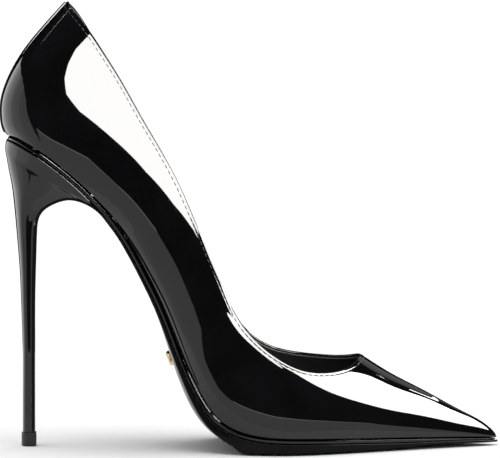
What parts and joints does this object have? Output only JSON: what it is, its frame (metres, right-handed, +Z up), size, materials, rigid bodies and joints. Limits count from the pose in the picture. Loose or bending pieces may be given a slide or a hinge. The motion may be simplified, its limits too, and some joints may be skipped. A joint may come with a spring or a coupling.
{
  "type": "high heel pump",
  "caption": "Pointed-toe stiletto pump in black patent leather, low-cut sides, covered 120 mm heel with top piece, lined, with a leather sole and a plain metal plate under the waist.",
  "frame": {"origin": "on the floor under the middle of the shoe's bounding box", "axes": "+X to the toe, +Y to the inner (medial) side of the foot, +Z up"},
  "size_m": [0.1934, 0.078, 0.1734],
  "materials": {
    "patent_upper": "black patent leather, mirror-like",
    "patent_trim": "black patent leather strip",
    "patent_heel": "black patent leather stretched over the heel",
    "lining": "fine black goat lining leather, matt",
    "sock": "black leather sock, soft sheen",
    "suede": "black suede, napped",
    "stiffener": "resin-stiffened felt",
    "insole_board": "cellulose board",
    "foam": "latex foam",
    "sole_leather": "black sole leather, semi-gloss",
    "heel_plastic": "moulded ABS",
    "tip_rubber": "hard black polyurethane",
    "steel": "hardened steel",
    "brass": "polished light gold",
    "thread": "bonded black nylon thread"
  },
  "bodies": {
    "root": {"upper": "patent_upper", "back_stay": "patent_trim", "heel_counter": "stiffener", "toe_puff": "stiffener", "quarter_lining": "lining", "vamp_lining": "lining", "heel_grip": "suede", "topline_thread": "thread", "insole_board": "insole_board", "shank": "steel", "shank_rivet_1": "steel", "shank_rivet_2": "steel", "forepart_filler": "stiffener", "heel_cushion": "foam", "forepart_cushion": "foam", "sock_lining": "sock", "rand": "patent_trim", "outsole": "sole_leather", "sole_plate": "brass", "plate_pin_1": "brass", "plate_pin_2": "brass", "heel_core": "heel_plastic", "heel_cover": "patent_heel", "heel_dowel": "steel", "top_piece": "tip_rubber", "top_piece_pin": "steel", "heel_screw": "steel", "heel_nail_1": "steel", "heel_nail_2": "steel", "heel_nail_3": "steel", "heel_nail_4": "steel"}
  },
  "joints": []
}
